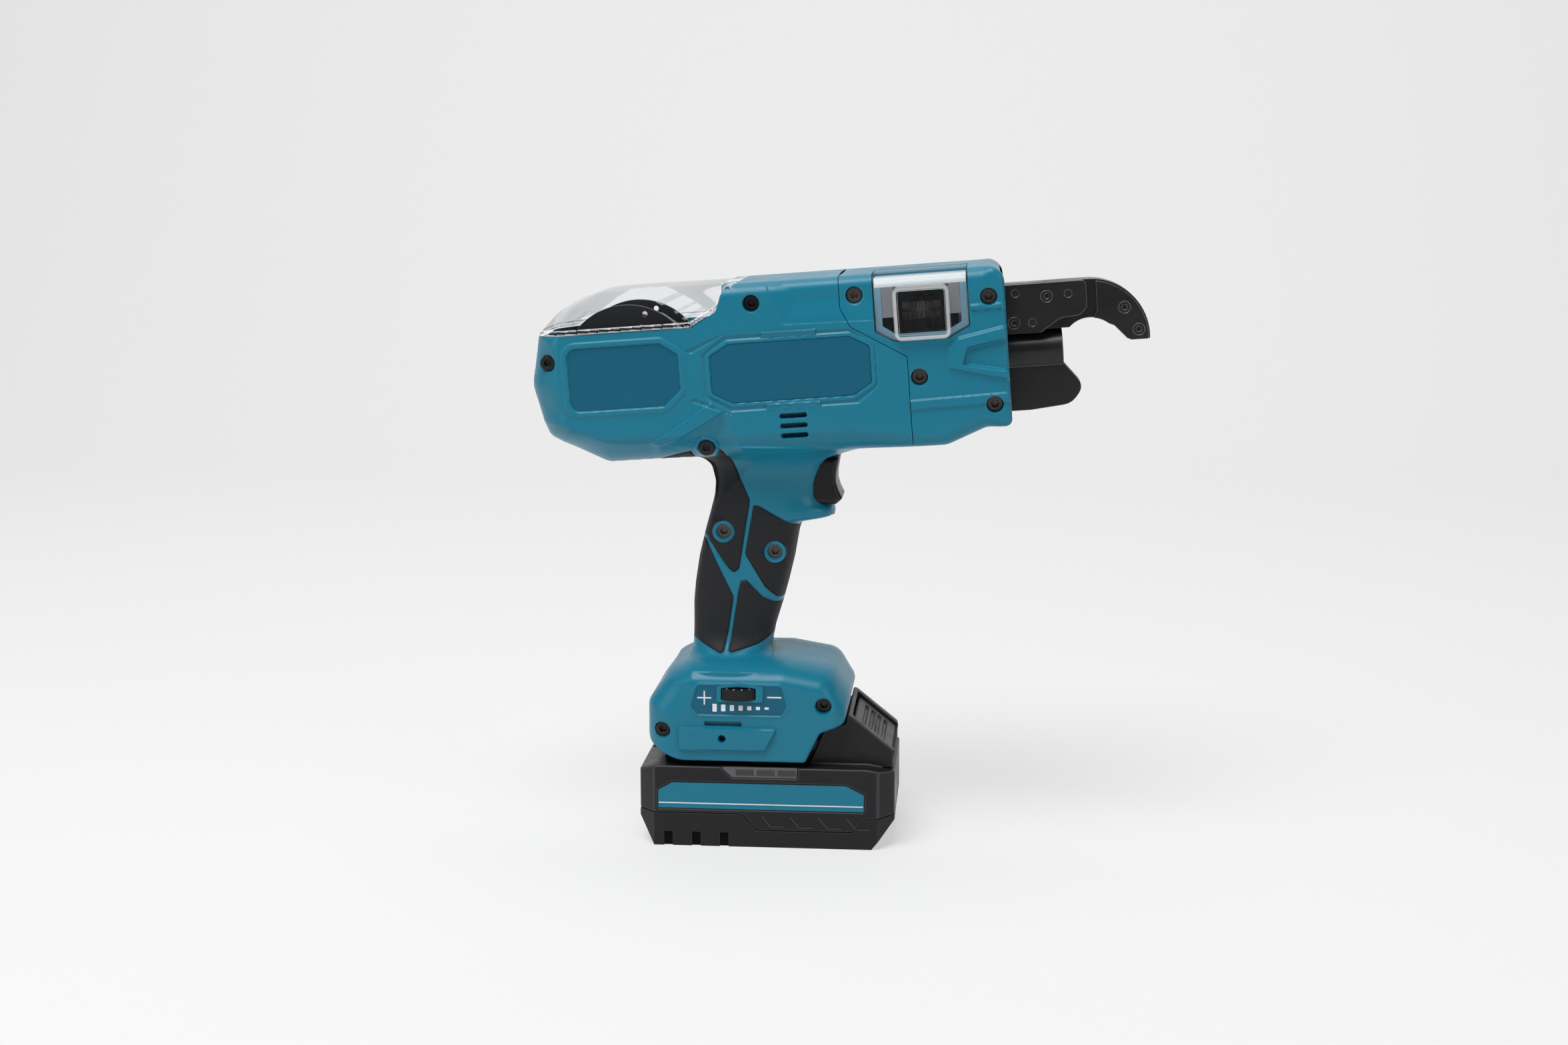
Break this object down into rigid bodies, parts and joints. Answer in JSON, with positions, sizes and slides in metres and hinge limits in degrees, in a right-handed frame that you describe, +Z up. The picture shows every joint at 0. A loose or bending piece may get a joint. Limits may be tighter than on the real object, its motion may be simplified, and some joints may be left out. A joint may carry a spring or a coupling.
{
  "type": "rebar tying tool",
  "caption": "Hand-held battery tool that feeds tie wire round crossed bars through a hooked jaw and twists it; clear spool cover, trigger, torque dial, slide-on battery.",
  "frame": {"origin": "middle of the battery's flat base, where the tool stands", "axes": "+X forwards to the jaw, +Y to the tool's left, +Z up"},
  "size_m": [0.27, 0.0765, 0.2577],
  "materials": {
    "teal_plastic": "matte moulded plastic, teal",
    "label_film": "printed film, dark teal, bare",
    "grip_rubber": "soft overmoulded rubber",
    "clear_plastic": "clear polycarbonate",
    "black_plastic": "black moulded plastic",
    "graphite_plastic": "dark grey moulded plastic",
    "black_steel": "black oxide steel",
    "bright_steel": "ground steel",
    "cast_alloy": "die-cast alloy",
    "brass": "turned brass",
    "circuit_board": "soldermask",
    "tie_wire": "annealed tie wire",
    "grey_lens": "smoked lens",
    "cell_wrap": "shrink wrap",
    "painted_motor": "painted motor can"
  },
  "bodies": {
    "housing": {"right_housing": "teal_plastic", "left_housing": "teal_plastic", "right_nose_cover": "teal_plastic", "left_nose_cover": "teal_plastic", "right_grip": "grip_rubber", "left_grip": "grip_rubber", "cover_hinge_pin": "bright_steel", "feed_window": "clear_plastic", "rear_label_plate": "label_film", "side_label_plate": "label_film", "dial_panel": "label_film", "housing_screws": "black_steel", "nose_screws": "black_steel", "handle_screws": "black_steel", "hook_insert": "brass", "switch_body": "graphite_plastic", "dial_pot": "graphite_plastic", "control_board": "circuit_board", "terminal_block": "brass", "spool_axle": "bright_steel", "twist_motor": "painted_motor", "gearbox": "cast_alloy", "main_frame": "cast_alloy", "front_bearing": "bright_steel", "feed_block": "black_plastic", "feed_motor": "painted_motor", "jaw_core": "black_steel", "right_jaw_plate": "black_steel", "left_jaw_plate": "black_steel", "right_hook_cheek": "black_steel", "left_hook_cheek": "black_steel", "right_lower_guide": "black_steel", "left_lower_guide": "black_steel", "jaw_screws": "black_steel", "hook_screws": "black_steel", "jaw_dowels": "bright_steel", "wire_cutter": "bright_steel"},
    "cover": {"spool_cover": "clear_plastic"},
    "spool": {"spool": "black_plastic", "wire_pack": "tie_wire", "wire_winding": "tie_wire"},
    "trigger": {"trigger": "black_plastic"},
    "dial": {"torque_dial": "black_plastic"},
    "twister": {"twist_shaft": "black_steel", "twister_hooks": "bright_steel"},
    "drive_gear": {"drive_feed_gear": "bright_steel"},
    "idler_gear": {"idler_feed_gear": "bright_steel"},
    "pinion": {"feed_pinion": "bright_steel"},
    "battery": {"battery_lower_case": "graphite_plastic", "battery_upper_case": "graphite_plastic", "battery_cells": "cell_wrap", "battery_board": "circuit_board", "battery_terminals": "brass", "battery_screws": "black_steel", "gauge_lens": "grey_lens", "battery_label": "teal_plastic", "button_spring": "bright_steel"},
    "button": {"release_button": "black_plastic"}
  },
  "joints": [
    {"name": "cover_hinge", "type": "hinge", "parent": "housing", "child": "cover", "pos_m": [-0.01626, 0, 0.24718], "axis": [0, 1, 0], "range_deg": [0, 95]},
    {"name": "spool_spin", "type": "hinge", "parent": "housing", "child": "spool", "pos_m": [-0.06159, 0, 0.20988], "axis": [0, 1, 0], "continuous": true},
    {"name": "trigger_pull", "type": "slide", "parent": "housing", "child": "trigger", "axis": [-1, 0, 0], "range_m": [0, 0.006], "stiffness_N_per_m": 1200, "springref_m": -0.002},
    {"name": "dial_turn", "type": "hinge", "parent": "housing", "child": "dial", "pos_m": [-0.012, -0.0305, 0.0698], "axis": [0, 0, 1], "range_deg": [-135, 135]},
    {"name": "twister_spin", "type": "hinge", "parent": "housing", "child": "twister", "pos_m": [0.09972, 0, 0.2185], "axis": [0.9972, 0, 0.075], "continuous": true},
    {"name": "drive_gear_spin", "type": "hinge", "parent": "housing", "child": "drive_gear", "pos_m": [0.06781, 0.00816, 0.2161], "axis": [-0.075, 0, 0.9972], "continuous": true},
    {"name": "idler_gear_spin", "type": "hinge", "parent": "housing", "child": "idler_gear", "pos_m": [0.06781, -0.00816, 0.2161], "axis": [-0.075, 0, 0.9972], "continuous": true},
    {"name": "pinion_spin", "type": "hinge", "parent": "housing", "child": "pinion", "pos_m": [0.06781, 0.02205, 0.2161], "axis": [-0.075, 0, 0.9972], "continuous": true},
    {"name": "battery_slide", "type": "slide", "parent": "housing", "child": "battery", "axis": [1, 0, 0], "range_m": [0, 0.1]},
    {"name": "button_press", "type": "slide", "parent": "battery", "child": "button", "axis": [0, 0, -1], "range_m": [0, 0.003], "stiffness_N_per_m": 900, "springref_m": -0.002, "deforming": ["button_spring"]}
  ],
  "couplings": [
    {"joint": "idler_gear_spin", "follows": "drive_gear_spin", "ratio": -1},
    {"joint": "pinion_spin", "follows": "drive_gear_spin", "ratio": -1.4286}
  ]
}
